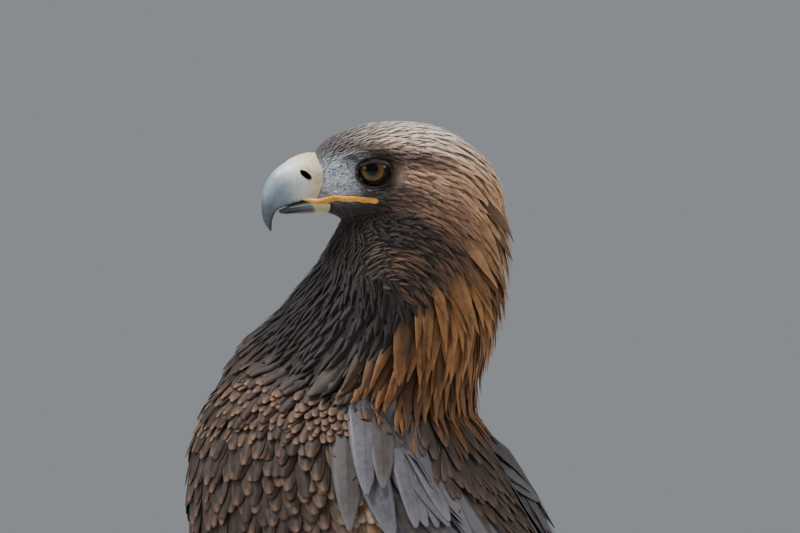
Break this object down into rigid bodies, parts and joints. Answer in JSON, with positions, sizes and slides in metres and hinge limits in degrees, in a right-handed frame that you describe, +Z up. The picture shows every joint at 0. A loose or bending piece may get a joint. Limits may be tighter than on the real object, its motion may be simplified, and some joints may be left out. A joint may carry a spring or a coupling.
{
  "type": "golden eagle, life-size standing animal model",
  "caption": "Life-size still model of a standing golden eagle with folded wings, its head turned to its left over the shoulder.",
  "frame": {"origin": "on the floor, below the middle of the bounding box of the whole bird", "axes": "+Z up, the breast and toes face -Y, the tail points to +Y, the bird's own left side is +X"},
  "size_m": [0.2188, 0.4524, 0.645],
  "materials": {
    "crown": "pale tawny and grey-buff feathers, matt",
    "hackle": "golden-brown pointed feathers, matt",
    "plumage": "dark brown feathers with paler edges, matt",
    "wing": "dark brown wing feathers with buff edges and a faint gloss",
    "tail": "grey-brown barred tail feathers with a dark end",
    "shank": "short tawny feathers, matt",
    "skin": "yellow scaly skin of the toes, satin",
    "cere": "pale yellow-white waxy skin, satin",
    "horn": "blue-grey horn darkening to black at the tip, semi-gloss",
    "claw": "black horn, semi-gloss",
    "eye": "dark amber iris and black pupil under a clear wet surface"
  },
  "bodies": {
    "root": {"head": "crown", "bill_upper": "horn", "cere": "cere", "bill_lower": "horn", "eye_left": "eye", "eye_right": "eye", "neck": "hackle", "torso": "plumage", "wing_left": "wing", "wing_right": "wing", "tail": "tail", "thigh_left": "plumage", "shank_left": "shank", "foot_left": "skin", "talon_left_inner": "claw", "talon_left_middle": "claw", "talon_left_outer": "claw", "talon_left_hind": "claw", "thigh_right": "plumage", "shank_right": "shank", "foot_right": "skin", "talon_right_inner": "claw", "talon_right_middle": "claw", "talon_right_outer": "claw", "talon_right_hind": "claw"}
  },
  "joints": []
}
